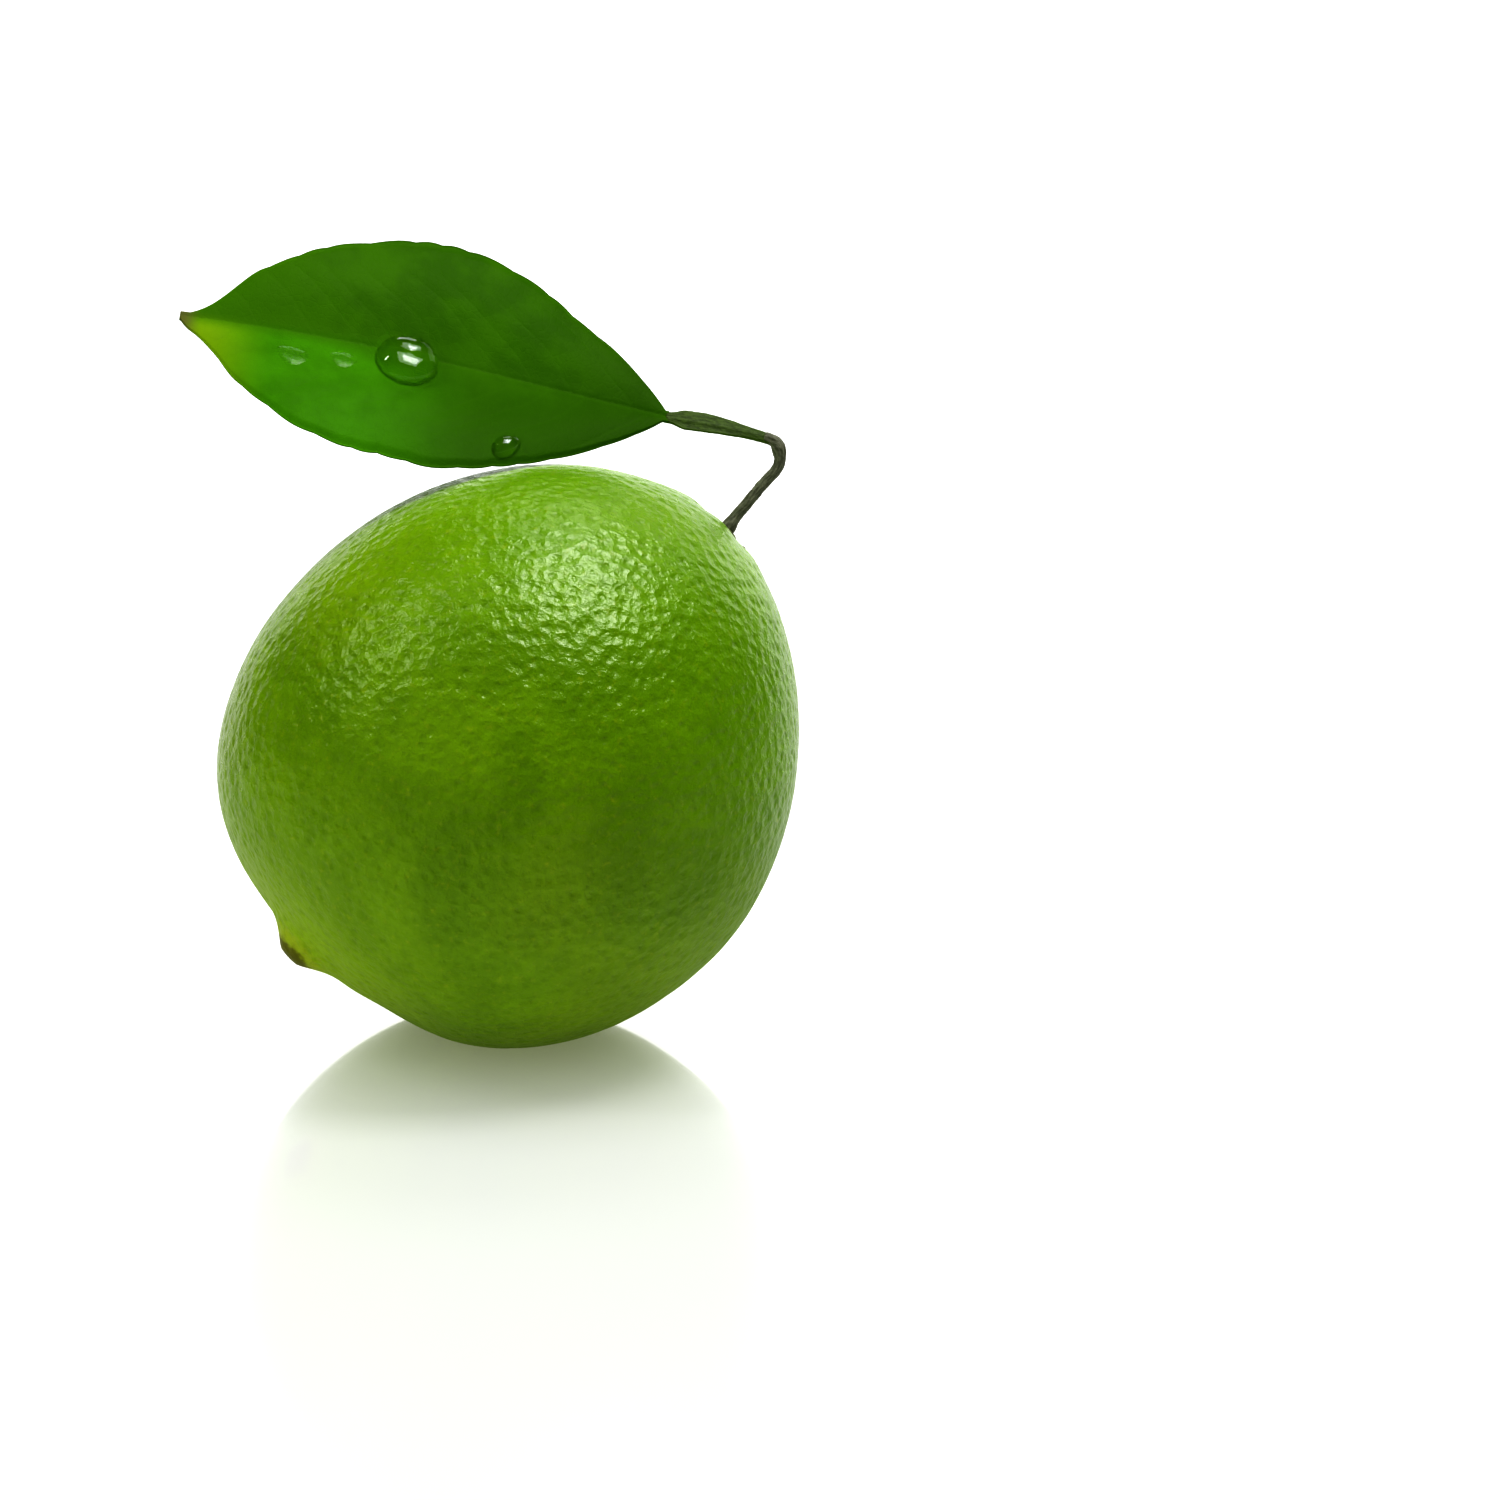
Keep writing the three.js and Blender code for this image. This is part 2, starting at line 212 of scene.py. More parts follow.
# A node's output. +, -, *, / and ** between it and a number or another output add Math nodes.
class Signal:
    def __init__(self, paint, socket):
        self.paint = paint
        self.socket = socket

    def math(self, operation, *terms):
        return self.paint.node("ShaderNodeMath", {"operation": operation}, dict(enumerate(terms)))

    def __add__(self, other):
        return self.math("ADD", self, other)

    def __sub__(self, other):
        return self.math("SUBTRACT", self, other)

    def __rsub__(self, other):
        return self.math("SUBTRACT", other, self)

    def __mul__(self, other):
        return self.math("MULTIPLY", self, other)

    def __truediv__(self, other):
        return self.math("DIVIDE", self, other)

    def __rtruediv__(self, other):
        return self.math("DIVIDE", other, self)

    def __pow__(self, other):
        return self.math("POWER", self, other)

    __radd__ = __add__
    __rmul__ = __mul__


# A material under construction.
class Paint:
    def __init__(self, name, **constants):
        self.material = bpy.data.materials.new(name)
        self.material.use_nodes = True
        self.tree = self.material.node_tree
        self.shader = self.tree.nodes["Principled BSDF"]
        for socket, value in constants.items():
            self.shader.inputs[socket.replace("_", " ")].default_value = value

    def node(self, kind, settings, inputs, output=0):
        made = self.tree.nodes.new(kind)
        for key, value in settings.items():
            setattr(made, key, value)
        for key, value in inputs.items():
            if isinstance(value, Signal):
                self.tree.links.new(value.socket, made.inputs[key])
            else:
                made.inputs[key].default_value = value
        return Signal(self, made.outputs[output])

    def place(self):
        metres = self.node("ShaderNodeTexCoord", {}, {}, "Object")
        return self.node("ShaderNodeVectorMath", {"operation": "SCALE"}, {0: metres, "Scale": 1 / mm})

    def mark(self, name, output="Fac"):
        return self.node("ShaderNodeAttribute", {"attribute_name": name}, {}, output)

    # Where a tube's skin lies: the length along it and a point on a circle round it, times a factor each.
    def ring(self, along, around):
        factors = {0: self.mark("ring", "Vector"), 1: (along, around, around)}
        return self.node("ShaderNodeVectorMath", {"operation": "MULTIPLY"}, factors)

    def noise(self, place, size, detail=2.0, roughness=0.5):
        inputs = {"Vector": place, "Scale": 1 / size, "Detail": detail, "Roughness": roughness}
        return self.node("ShaderNodeTexNoise", {}, inputs)

    def cells(self, place, size, randomness=1.0, feature="F1"):
        inputs = {"Vector": place, "Scale": 1 / size, "Randomness": randomness}
        return self.node("ShaderNodeTexVoronoi", {"feature": feature}, inputs)

    def smooth(self, value, low, high):
        settings = {"interpolation_type": "SMOOTHSTEP"}
        return self.node("ShaderNodeMapRange", settings, {0: value, 1: low, 2: high})

    def blend(self, share, first, second):
        first, second = ((*c, 1) if isinstance(c, tuple) else c for c in (first, second))
        return self.node("ShaderNodeMix", {"data_type": "RGBA"}, {0: share, 6: first, 7: second}, 2)

    def bump(self, height, depth):
        return self.node("ShaderNodeBump", {}, {"Height": height, "Distance": depth * mm, "Strength": 1.0})

    def finish(self, **links):
        for socket, value in links.items():
            self.tree.links.new(value.socket, self.shader.inputs[socket.replace("_", " ")])
        return self.material


# Gives a piece its material and its body, and hides the solid that it stands for, which takes the same
# material.
def fit(piece, material, node):
    piece.data.materials.append(material)
    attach(piece, "root")
    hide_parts(node)
    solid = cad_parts[node]
    solid.data.materials.clear()
    solid.data.materials.append(material)
    return piece


# The rind. Round its axis the skin has polar angle p from the stem end and angle q:
#   out = radius * sin(p) ^ taper, height = half * cos(p), each half with its own taper and length,
# less a dimple and furrows at the stem end, plus a nipple and a hollow at the blossom end.

lime = {
    "radius": 27.9, "stemHalf": 32.6, "blossomHalf": 27.5, "stemTaper": 1.174, "blossomTaper": 0.761,
    "centreHeight": 27.5, "axisRise": 37.0, "axisTurn": 26.5, "stemBend": 1.9, "blossomBend": 1.1,
    "nippleHeight": 2.35, "nippleRadius": 3.2, "scarDepth": 0.5, "scarRadius": 0.7,
    "hollowDepth": 0.7, "hollowRadius": 11.7, "hollowWidth": 4.1,
    "dimpleDepth": 1.4, "dimpleRadius": 3.4,
    "furrowCount": 7, "furrowDepth": 0.12, "furrowRadius": 6.0, "furrowWidth": 1.8,
    "oval": 0.003, "lobed": 0.006,
    "around": 420, "along": 236,
    "pitSpacing": 1.3, "pitScatter": 0.9, "pitDepth": 0.04,
    "swellSize": 7.0, "swellHeight": 0.10, "ripple": 2.4, "rippleHeight": 0.022,
    "inset": 0.05, "spotRound": 0.03, "blossomPaleAndLitSpread": 13.0, "scarSpread": 2.3,
    "greens": ((0.160, 0.295, 0.0020), (0.205, 0.360, 0.0030)), "paleGreen": (0.235, 0.365, 0.0025),
    "blossomGreenWithPaintedBounce": (0.335, 0.500, 0.0030), "stemGreen": (0.185, 0.370, 0.0040),
    "pitGreen": (0.090, 0.190, 0.0020), "speckGreen": (0.085, 0.170, 0.0020),
    "scarRim": (0.400, 0.470, 0.0250), "scarBrown": (0.125, 0.120, 0.0030),
}

rise, turn = np.radians([lime["axisRise"], lime["axisTurn"]])
limeCentre = np.array([0, 0, lime["centreHeight"]])
limeAxis = np.array([np.cos(rise) * np.cos(turn), np.cos(rise) * np.sin(turn), np.sin(rise)])
limeSide = squareTo(limeAxis, np.array([-0.689, 0.212, 0.693]))
limeCross = np.cross(limeSide, limeAxis)


# Distance out from the axis and height along it, for polar angle p and angle q.
def limeSection(p, q):
    stemward = np.cos(p) > 0
    taper = np.where(stemward, lime["stemTaper"], lime["blossomTaper"])
    out = lime["radius"] * np.clip(np.sin(p), 0, 1) ** taper
    height = np.where(stemward, lime["stemHalf"], lime["blossomHalf"]) * np.cos(p)
    furrow = lime["furrowDepth"] * hump(out - lime["furrowRadius"], lime["furrowWidth"])
    furrows = furrow * np.cos(lime["furrowCount"] * q)
    stemRelief = lime["dimpleDepth"] * hump(out, lime["dimpleRadius"]) + furrows
    nipple = lime["nippleHeight"] * hump(out, lime["nippleRadius"])
    scar = lime["scarDepth"] * hump(out, lime["scarRadius"])
    hollow = lime["hollowDepth"] * hump(out - lime["hollowRadius"], lime["hollowWidth"])
    hollow = hollow * np.clip(-np.cos(q), 0, 1) ** 2
    height = height - np.where(stemward, stemRelief, nipple - scar - hollow)
    uneven = 1 + (lime["oval"] * np.cos(2 * q) - lime["lobed"] * np.sin(3 * q)) * np.sin(p) ** 2
    return out * uneven, height


# The ends bend sideways by the square of their share of the half length.
def limePlace(out, height, q):
    half = np.where(height > 0, lime["stemHalf"], lime["blossomHalf"])
    bend = np.where(height > 0, lime["stemBend"], lime["blossomBend"]) * (height / half) ** 2
    side, cross = out * np.cos(q) + bend, out * np.sin(q)
    core = limeCentre + height[..., None] * limeAxis
    return core + side[..., None] * limeSide + cross[..., None] * limeCross


# Normals of a grid that wraps round its columns, from the cross product of its two steps, pointing away
# from the middle.
def wrappedNormals(grid):
    rowStep = np.gradient(grid, axis=0)
    columnStep = (np.roll(grid, -1, 1) - np.roll(grid, 1, 1)) / 2
    normal = np.cross(rowStep, columnStep)
    length = np.linalg.norm(normal, axis=-1, keepdims=True)
    normal = normal / np.maximum(length, 1e-9)
    middle = grid.mean((0, 1))
    outward = np.sign(np.sum(normal * (grid - middle), axis=-1, keepdims=True))
    return normal * outward


def makeRind():
    fine = np.linspace(0, np.pi, 4000)
    out, height = limeSection(fine, np.full_like(fine, np.pi / 2))
    length = np.concatenate([[0], np.cumsum(np.hypot(np.diff(out), np.diff(height)))])
    even = np.interp(np.linspace(0, length[-1], lime["along"]), length, fine)
    p, q = roundGrid(even, lime["around"])
    out, height = limeSection(p, q)
    skin = limePlace(out, height, q)
    normal = wrappedNormals(skin)
    pit = 1 - smooth(cellDistance(skin / lime["pitSpacing"], lime["pitScatter"]), 0.08, 0.5)
    relief = lime["swellHeight"] * softNoise(skin, lime["swellSize"])
    relief = relief + lime["rippleHeight"] * softNoise(skin + 40, lime["ripple"])
    run = np.interp(p, fine, length)
    ends = smooth(np.minimum(length[-1] - run, run), 0.3, 2.5)
    skin = skin + normal * ((relief - lime["pitDepth"] * pit - lime["inset"]) * ends)[..., None]
    # The flat spot: no point is below the floor, and the bend into it is round.
    skin[..., 2] = (skin[..., 2] + np.sqrt(skin[..., 2] ** 2 + lime["spotRound"])) / 2
    marks = {
        "blossom": np.where(height < 0, hump(out, lime["blossomPaleAndLitSpread"]), 0),
        "scar": np.where(height < 0, hump(out, lime["scarSpread"]), 0),
        "stemward": smooth(height, -6.0, 20.0),
        "under": smooth(skin[..., 2], 30.0, 10.0),
    }
    return closedSkin("rind", skin, marks)


# Pits sink by 1 - smooth(distance to the nearest cell point), on the same cells as the mesh.
def rindMaterial():
    paint = Paint(
        "waxyRind", Specular_IOR_Level=0.28, IOR=1.45, Subsurface_Weight=0.1, Subsurface_Scale=0.001,
        Subsurface_Radius=(0.9, 1.0, 0.3),
    )
    place = paint.place()
    cell = paint.cells(place, lime["pitSpacing"], lime["pitScatter"])
    pit = 1 - paint.smooth(cell, 0.08, 0.45)
    crown = paint.smooth(cell, 0.4, 0.8)
    mottle = paint.noise(place, 9.0, 3.0, 0.6)
    speckle = paint.noise(place, 0.9, 2.0, 0.6)
    broad = paint.noise(place, 26.0, 1.0, 0.4)
    green = paint.blend(paint.smooth(mottle, 0.38, 0.64), *lime["greens"])
    green = paint.blend(paint.smooth(broad, 0.50, 0.68) * 0.5, green, lime["paleGreen"])
    # The blossom end is lighter and yellower: partly its own colour and partly painted light from the floor
    # below it.
    green = paint.blend(paint.mark("blossom") * 0.85, green, lime["blossomGreenWithPaintedBounce"])
    green = paint.blend(paint.mark("stemward") * 0.55, green, lime["stemGreen"])
    green = paint.blend(pit * 0.10, green, lime["pitGreen"])
    green = paint.blend(paint.smooth(speckle, 0.45, 0.75) * 0.2, green, lime["speckGreen"])
    scar = paint.mark("scar") + (paint.noise(place, 0.8, 3.0, 0.6) - 0.5) * 0.5
    green = paint.blend(paint.smooth(scar, 0.02, 0.22) * 0.6, green, lime["scarRim"])
    green = paint.blend(paint.smooth(scar, 0.26, 0.52) * 0.88, green, lime["scarBrown"])
    lesser = 1 - paint.smooth(paint.cells(place, 0.74, 1.0), 0.05, 0.45)
    grain = paint.noise(place, 0.75, 3.0, 0.6)
    height = crown * 0.6 - pit * 0.8 - lesser * 0.35 + grain * 1.4
    roughness = 0.24 + speckle * 0.08 + pit * 0.05 + paint.mark("under") * 0.22
    return paint.finish(Base_Color=green, Roughness=roughness, Normal=paint.bump(height, 0.09))


rind = fit(makeRind(), rindMaterial(), "fruit")
print("rind", len(rind.data.polygons), "faces")


# The calyx: a star of pointed lobes pressed against the dimple, reach = notch to lobe length by a power of
# (1 + cos(5 q)) / 2, with a boss in its middle.

calyx = {
    "lobes": 5, "notch": 1.8, "lobe": 2.85, "thickness": 0.50, "edge": 0.22, "sunk": 0.25, "lift": 0.1,
    "bossRadius": 1.35, "bossHeight": 0.65, "keelHeight": 0.10, "keelWidth": 0.22, "curl": 0.05,
    "around": 260, "across": 90,
    "greens": ((0.060, 0.085, 0.016), (0.150, 0.185, 0.045)),
    "tipBrown": (0.130, 0.090, 0.030), "fleck": (0.040, 0.035, 0.012),
}


# Height of the rind's stem end along the axis, at a distance out from it.
def stemEndHeight(out):
    p = np.arcsin(np.clip(out / lime["radius"], 0, 1) ** (1 / lime["stemTaper"]))
    return lime["stemHalf"] * np.cos(p) - lime["dimpleDepth"] * hump(out, lime["dimpleRadius"])


def calyxTop(out, reach):
    boss = calyx["bossHeight"] * (1 - smooth(out, calyx["bossRadius"] * 0.5, calyx["bossRadius"] * 1.3))
    return stemEndHeight(out) + calyx["lift"] + lerp(calyx["thickness"], calyx["edge"], out / reach) + boss


def makeCalyx():
    p, q = roundGrid(np.linspace(0, np.pi, calyx["across"]), calyx["around"])
    q = q + 0.05 * np.sin(2 * q + 1)
    lobe = ((1 + np.cos(calyx["lobes"] * q)) / 2) ** 1.1
    waver = 1 + 0.05 * np.sin(q * 2 + 0.7) + 0.03 * np.sin(q * 3)
    reach = lerp(calyx["notch"], calyx["lobe"], lobe) * waver
    out = reach * np.sin(p)
    upper = (1 + np.cos(p) / np.maximum(np.abs(np.cos(p)), 0.3)) / 2
    offLobe = (q * calyx["lobes"] / (2 * np.pi) + 0.5) % 1 - 0.5
    keel = calyx["keelHeight"] * lobe * hump(offLobe * out, calyx["keelWidth"]) * smooth(out, 0.8, 2)
    place = np.stack([out * np.cos(q), out * np.sin(q), 0 * q], -1)
    rough = 0.05 * softNoise(place, 0.55) + 0.03 * softNoise(place + 9, 0.22)
    curl = calyx["curl"] * smooth(out / reach, 0.6, 1) * (0.5 + 0.5 * np.sin(q * 2 + 2))
    top = calyxTop(out, reach) + keel + rough + curl
    height = lerp(stemEndHeight(out) - calyx["sunk"], top, upper)
    return closedSkin("calyxStar", limePlace(out, height, q), {"out": out / reach})


def calyxMaterial():
    paint = Paint("calyxSkin", Specular_IOR_Level=0.35)
    place = paint.place()
    grain = paint.noise(place, 0.5, 4.0, 0.65)
    fleck = paint.noise(place, 0.16, 3.0, 0.6)
    colour = paint.blend(paint.smooth(grain, 0.35, 0.65), *calyx["greens"])
    colour = paint.blend(paint.smooth(paint.mark("out"), 0.75, 1.0) * 0.7, colour, calyx["tipBrown"])
    colour = paint.blend(paint.smooth(fleck, 0.55, 0.7) * 0.5, colour, calyx["fleck"])
    bump = paint.bump(grain + fleck * 0.6, 0.06)
    return paint.finish(Base_Color=colour, Roughness=0.6 + grain * 0.25, Normal=bump)


calyxStar = fit(makeCalyx(), calyxMaterial(), "calyx")
print("calyx", len(calyxStar.data.polygons), "faces")


# The stem: a tube from the boss to the bend, radius = base + flare at the foot + swelling at the bend
# + fine ribs cos(9 q) + low bark noise.

stem = {
    "radius": 0.56, "foot": 0.78, "footSunk": 0.35, "footAside": 0.4,
    "node": 0.72, "nodeWidth": 0.07, "bendAt": 0.84, "ribs": 9, "ribHeight": 0.022,
    "around": 72, "along": 260,
    "route": [
        [22.35, 12.6, 49.6], [23.4, 13.05, 50.75], [25.1, 13.85, 52.65], [26.6, 14.4, 54.25],
        [26.85, 14.8, 55.6], [26.45, 15.15, 56.65], [25.7, 15.3, 57.05], [25.2, 15.35, 57.2],
    ],
    "greys": ((0.110, 0.118, 0.074), (0.215, 0.225, 0.155)), "fleck": (0.290, 0.270, 0.200),
}

middle = np.array(0.0)
stemFoot = limePlace(middle, calyxTop(middle, 1) - stem["footSunk"], middle) + limeSide * stem["footAside"]


def makeStem():
    path = route([stemFoot, *stem["route"]], stem["along"])

    def section(t, q):
        place = np.stack([t * 16, np.cos(q) * 0.6, np.sin(q) * 0.6], -1)
        radius = stem["radius"] + (stem["foot"] - stem["radius"]) * (1 - smooth(t, 0.02, 0.16))
        radius = radius + (stem["node"] - stem["radius"]) * hump(t - stem["bendAt"], stem["nodeWidth"])
        radius = radius + stem["ribHeight"] * np.cos(stem["ribs"] * q + 1.2 * np.sin(t * 5))
        radius = radius + 0.03 * softNoise(place, 0.5) + 0.02 * softNoise(place + 5, 0.2)
        return radius * np.cos(q), radius * np.sin(q)

    return tube("stemBark", path, np.array([0.0, -1.0, 0.0]), section, stem["around"])


def barkMaterial():
    paint = Paint("youngBark", Specular_IOR_Level=0.2)
    place = paint.place()
    streak = paint.noise(paint.ring(0.25, 0.6), 0.22, 4.0, 0.6)
    fleck = paint.noise(place, 0.18, 3.0, 0.6)
    colour = paint.blend(paint.smooth(streak, 0.35, 0.65), *stem["greys"])
    colour = paint.blend(paint.smooth(fleck, 0.58, 0.7) * 0.6, colour, stem["fleck"])
    bump = paint.bump(streak + fleck * 0.5, 0.07)
    return paint.finish(Base_Color=colour, Roughness=0.5 + fleck * 0.3, Normal=bump)


stemBark = fit(makeStem(), barkMaterial(), "stem")
print("stem", len(stemBark.data.polygons), "faces")


# The leaf blade: place = base + length along its heading + reach across + height on its upper side.
# Half width at share s of the length is width * sin(pi * s ^ skew) ^ fullness, narrowed into the drip tip.

leaf = {
    "base": [15.6, 15.9, 59.1], "tip": [-33.1, 12.05, 70.6], "lean": 37.0,
    "far": {"width": 14.1, "skew": 0.995, "fullness": 0.80, "narrowing": 0.68, "from": 0.85},
    "near": {"width": 14.72, "skew": 1.137, "fullness": 0.753, "narrowing": 0.38, "from": 0.88},
    "fold": 6.0, "foldRound": 1.8, "arch": 0.8, "bow": 0.4, "camber": 0.55,
    "wave": 0.25, "waves": 2.3, "farPhase": 2.1, "nearPhase": 2.9,
    "teeth": 14, "toothDepth": 0.22, "curl": 0.12,
    "halfThickness": 0.19, "edgeThickness": 0.08, "ribDepth": 0.62, "ribRadius": 0.55,
    "grooveDepth": 0.05, "grooveRadius": 0.32,
    "veinSpacing": 4.6, "veinAngle": 56.0, "veinBend": 0.045, "veinWidth": 0.18, "veinDepth": 0.009,
    "quilt": 0.02, "baseWidth": 0.70, "tipWidth": 0.5,
    # Gentle swells of the margins: [share of the length, how far out, spread].
    "farSwells": [[0.83, -0.45, 0.08], [0.66, -0.25, 0.07], [0.20, -0.35, 0.05]],
    "nearSwells": [[0.985, 0.30, 0.018], [0.915, -0.55, 0.04], [0.75, 0.40, 0.05], [0.56, -0.75, 0.07]],
    "along": 290, "across": 165,
    # Of the upper face: the near half towards the tip has painted light (lit greens), and the rest painted
    # shade (shaded greens).
    "paintedLitGreens": ((0.073, 0.238, 0.0021), (0.090, 0.286, 0.0037)),
    "paintedShadeGreens": ((0.058, 0.163, 0.0013), (0.076, 0.202, 0.0021)),
    "farGreen": (0.078, 0.205, 0.0020), "nearShadeGreen": (0.052, 0.146, 0.0013),
    "baseShadeGreen": (0.040, 0.108, 0.0010), "tipYellowAndLight": (0.230, 0.375, 0.0090),
    "tipBrown": (0.170, 0.150, 0.0600), "veinGreen": (0.100, 0.250, 0.0100),
    "netGreen": (0.090, 0.230, 0.0080),
    "undersideGreens": ((0.105, 0.235, 0.050), (0.135, 0.280, 0.065)),
    "undersideVein": (0.200, 0.330, 0.095),
}

leafBase, leafTip = np.array(leaf["base"]), np.array(leaf["tip"])
leafLength = np.linalg.norm(leafTip - leafBase)
leafHeading = unit(leafTip - leafBase)
lean = np.radians(leaf["lean"])
leafSide = squareTo(leafHeading, np.array([0, np.cos(lean), np.sin(lean)]))
leafUp = np.cross(leafSide, leafHeading)


def leafHalfWidth(s, t):
    def half(side, swells):
        oval = np.clip(np.sin(np.pi * s ** side["skew"]), 0, 1) ** side["fullness"]
        swell = sum(out * hump(s - at, spread) for at, out, spread in swells)
        return side["width"] * oval * (1 - side["narrowing"] * smooth(s, side["from"], 1)) + swell

    wide = np.where(t > 0, half(leaf["far"], leaf["farSwells"]), half(leaf["near"], leaf["nearSwells"]))
    return np.maximum(wide, lerp(leaf["baseWidth"], leaf["tipWidth"], s))


# The blade's middle surface at share s of its length and t from the near margin (-1) to the far one (1),
# with a lift off it. It also gives how far across that is in mm.
def leafPlace(s, t, lift=0.0, bare=False):
    halfWidth = leafHalfWidth(s, t)
    broad = halfWidth / leaf["near"]["width"]
    beat = s * leaf["teeth"] + 0.25 * np.sin(s * 23 + t)
    tooth = leaf["toothDepth"] * broad * np.abs(t) ** 6 * (np.abs(np.sin(np.pi * beat)) ** 0.8 - 0.5)
    reach = halfWidth * t + np.sign(t) * tooth * (0 if bare else 1)
    valley = np.tan(np.radians(leaf["fold"])) * (np.hypot(reach, leaf["foldRound"]) - leaf["foldRound"])
    bulge = leaf["camber"] * broad * np.sin(np.pi * np.abs(t))
    phase = np.where(t > 0, leaf["farPhase"], leaf["nearPhase"])
    wave = leaf["wave"] * broad * t**2 * np.sin(2 * np.pi * leaf["waves"] * s + phase)
    curl = -leaf["curl"] * broad * smooth(np.abs(t), 0.9, 1.0) ** 2
    high = leaf["arch"] * np.sin(np.pi * s**1.6) + valley + bulge + wave + curl + lift
    side = reach + leaf["bow"] * np.sin(np.pi * s)
    along = leafBase + (leafLength * s)[..., None] * leafHeading
    return along + side[..., None] * leafSide + high[..., None] * leafUp, reach


# Side veins leave the midrib at an angle and bend towards the tip: vein number = (along - y / tan(angle)
# - bend * y^2) / spacing, and a vein runs where that is whole. Returns how strongly a vein shows, and the
# bulge of the blade between veins.
def leafVeins(s, reach):
    x, y = s * leafLength, np.abs(reach)
    angle = np.radians(leaf["veinAngle"])
    side = np.where(reach > 0, 0.0, 0.37)  # the two sides' veins stand this share of a spacing apart
    number = (x - y / np.tan(angle) - leaf["veinBend"] * y**2) / leaf["veinSpacing"]
    number = number + side + 0.16 * np.sin(1.9 * number + 3 * side) + 0.05 * np.sin(0.9 * y + 2 * number)
    across = leaf["veinSpacing"] * np.sin(angle)
    away = np.abs(number - np.round(number)) * across
    between = np.abs(number + 0.5 - np.round(number + 0.5)) * across
    fade = 1 - smooth(y, 7.5, 12.5)
    vein = hump(away, leaf["veinWidth"] * (0.55 + 0.45 * fade)) * (0.35 + 0.65 * fade)
    lesser = 0.4 * hump(between, leaf["veinWidth"] * 0.6) * smooth(y, 1.5, 4.0) * fade
    bulge = np.cos(2 * np.pi * number) * -0.5 * smooth(y, 0.8, 3.0) * fade
    return np.maximum(vein, lesser), bulge


def makeLeaf():
    s = (1 - np.cos(np.linspace(0, np.pi, leaf["along"]))) / 2
    s = lerp(np.linspace(0, 1, leaf["along"]), s, 0.35)
    t = np.linspace(-1, 1, leaf["across"])
    t = t * (0.8 + 0.2 * np.abs(t))
    s, t = np.meshgrid(s, t, indexing="ij")
    _, reach = leafPlace(s, t)
    vein, quilt = leafVeins(s, reach)
    midrib = hump(reach, leaf["grooveRadius"]) * (1 - 0.6 * s)
    room = smooth(leafHalfWidth(s, t) * (1 - np.abs(t)), 0.0, 1.2)
    half = lerp(leaf["edgeThickness"], leaf["halfThickness"], smooth(1 - np.abs(t), 0, 0.08))
    quilt = leaf["quilt"] * quilt * room
    top = half + quilt - leaf["grooveDepth"] * midrib - leaf["veinDepth"] * vein * room
    rib = leaf["ribDepth"] * (1 - 0.8 * s) * hump(reach, leaf["ribRadius"] * (1 - 0.5 * s))
    low = -half + quilt - rib * smooth(room, 0, 0.6) - 2.2 * leaf["veinDepth"] * vein * room
    upper, _ = leafPlace(s, t, top)
    lower, _ = leafPlace(s, t, low)
    points = np.concatenate([upper.reshape(-1, 3), lower.reshape(-1, 3)])
    above = np.arange(s.size).reshape(s.shape)
    below = above + s.size
    border = np.concatenate([above[:-1, 0], above[-1, :-1], above[:0:-1, -1], above[0, :0:-1]])
    ring = np.append(border, border[0])
    rim = gridQuads(np.stack([ring + s.size, ring]))
    quads = np.concatenate([gridQuads(above), gridQuads(below)[:, ::-1], rim])
    foldSpread = lerp(4.5, 1.4, smooth(s, 0.45, 0.75))  # how softly the two halves' greens meet, in mm

    def both(value):
        return np.concatenate([value.ravel(), value.ravel()])

    marks = {
        "vein": both(np.maximum(vein * room, midrib)),
        "along": both(s),
        "far": both(smooth(reach / foldSpread, -1.2, 0.7)),
        "upperFace": np.concatenate([np.ones(s.size), np.zeros(s.size)]),
        "blade": np.stack([both(s * leafLength), both(reach), both(0 * s)], -1),
    }
    return meshObject("leafBlade", points, quads, None, marks)


